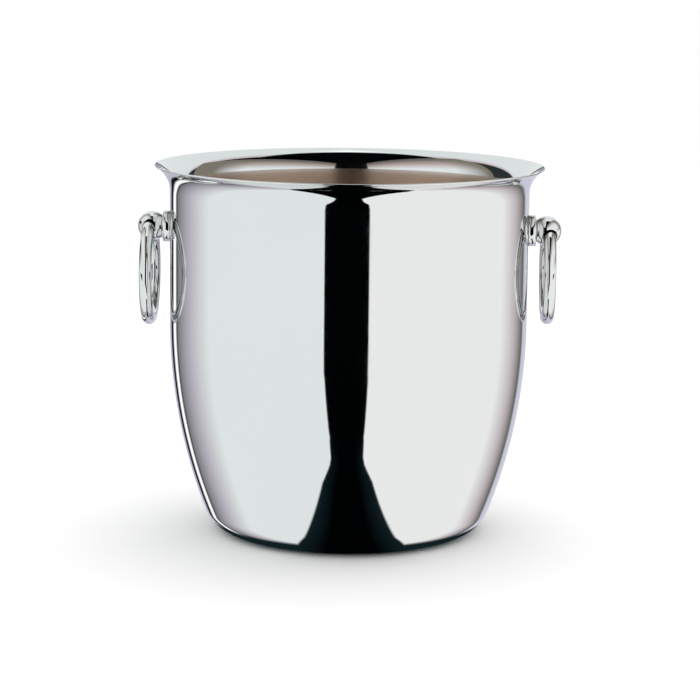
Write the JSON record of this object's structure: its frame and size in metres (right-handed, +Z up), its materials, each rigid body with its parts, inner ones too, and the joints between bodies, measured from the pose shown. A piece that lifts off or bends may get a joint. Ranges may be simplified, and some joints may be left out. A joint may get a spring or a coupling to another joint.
{
  "type": "champagne bucket",
  "caption": "Round polished steel champagne bucket with a flared rim, a rounded lower body and a swinging ring handle through a ball knob on each side.",
  "frame": {"origin": "middle of the base, in the plane of the table that the bucket stands on", "axes": "+Z up along the bucket's axis; +X towards the right-hand ring; -Y is the front"},
  "size_m": [0.2294, 0.21, 0.2],
  "materials": {
    "steel_polished": "mirror-polished stainless steel outside, fine satin lines around the inside",
    "steel_fastener": "plain bright stainless steel",
    "rubber_seal": "matt dark grey food-grade rubber"
  },
  "bodies": {
    "bucket": {"bucket_body": "steel_polished", "left_knob": "steel_polished", "left_collar": "steel_polished", "left_seal": "rubber_seal", "left_washer": "steel_fastener", "left_cap_nut": "steel_fastener", "right_knob": "steel_polished", "right_collar": "steel_polished", "right_seal": "rubber_seal", "right_washer": "steel_fastener", "right_cap_nut": "steel_fastener"},
    "left_handle": {"left_ring": "steel_polished"},
    "right_handle": {"right_ring": "steel_polished"}
  },
  "joints": [
    {"name": "left_ring_swing", "type": "hinge", "parent": "bucket", "child": "left_handle", "pos_m": [-0.1082, 0, 0.1655], "axis": [0, 0.9986, -0.0523], "range_deg": [-8, 182]},
    {"name": "right_ring_swing", "type": "hinge", "parent": "bucket", "child": "right_handle", "pos_m": [0.1082, 0, 0.1655], "axis": [0, -0.9397, -0.342], "range_deg": [-8.5, 179.5]}
  ]
}
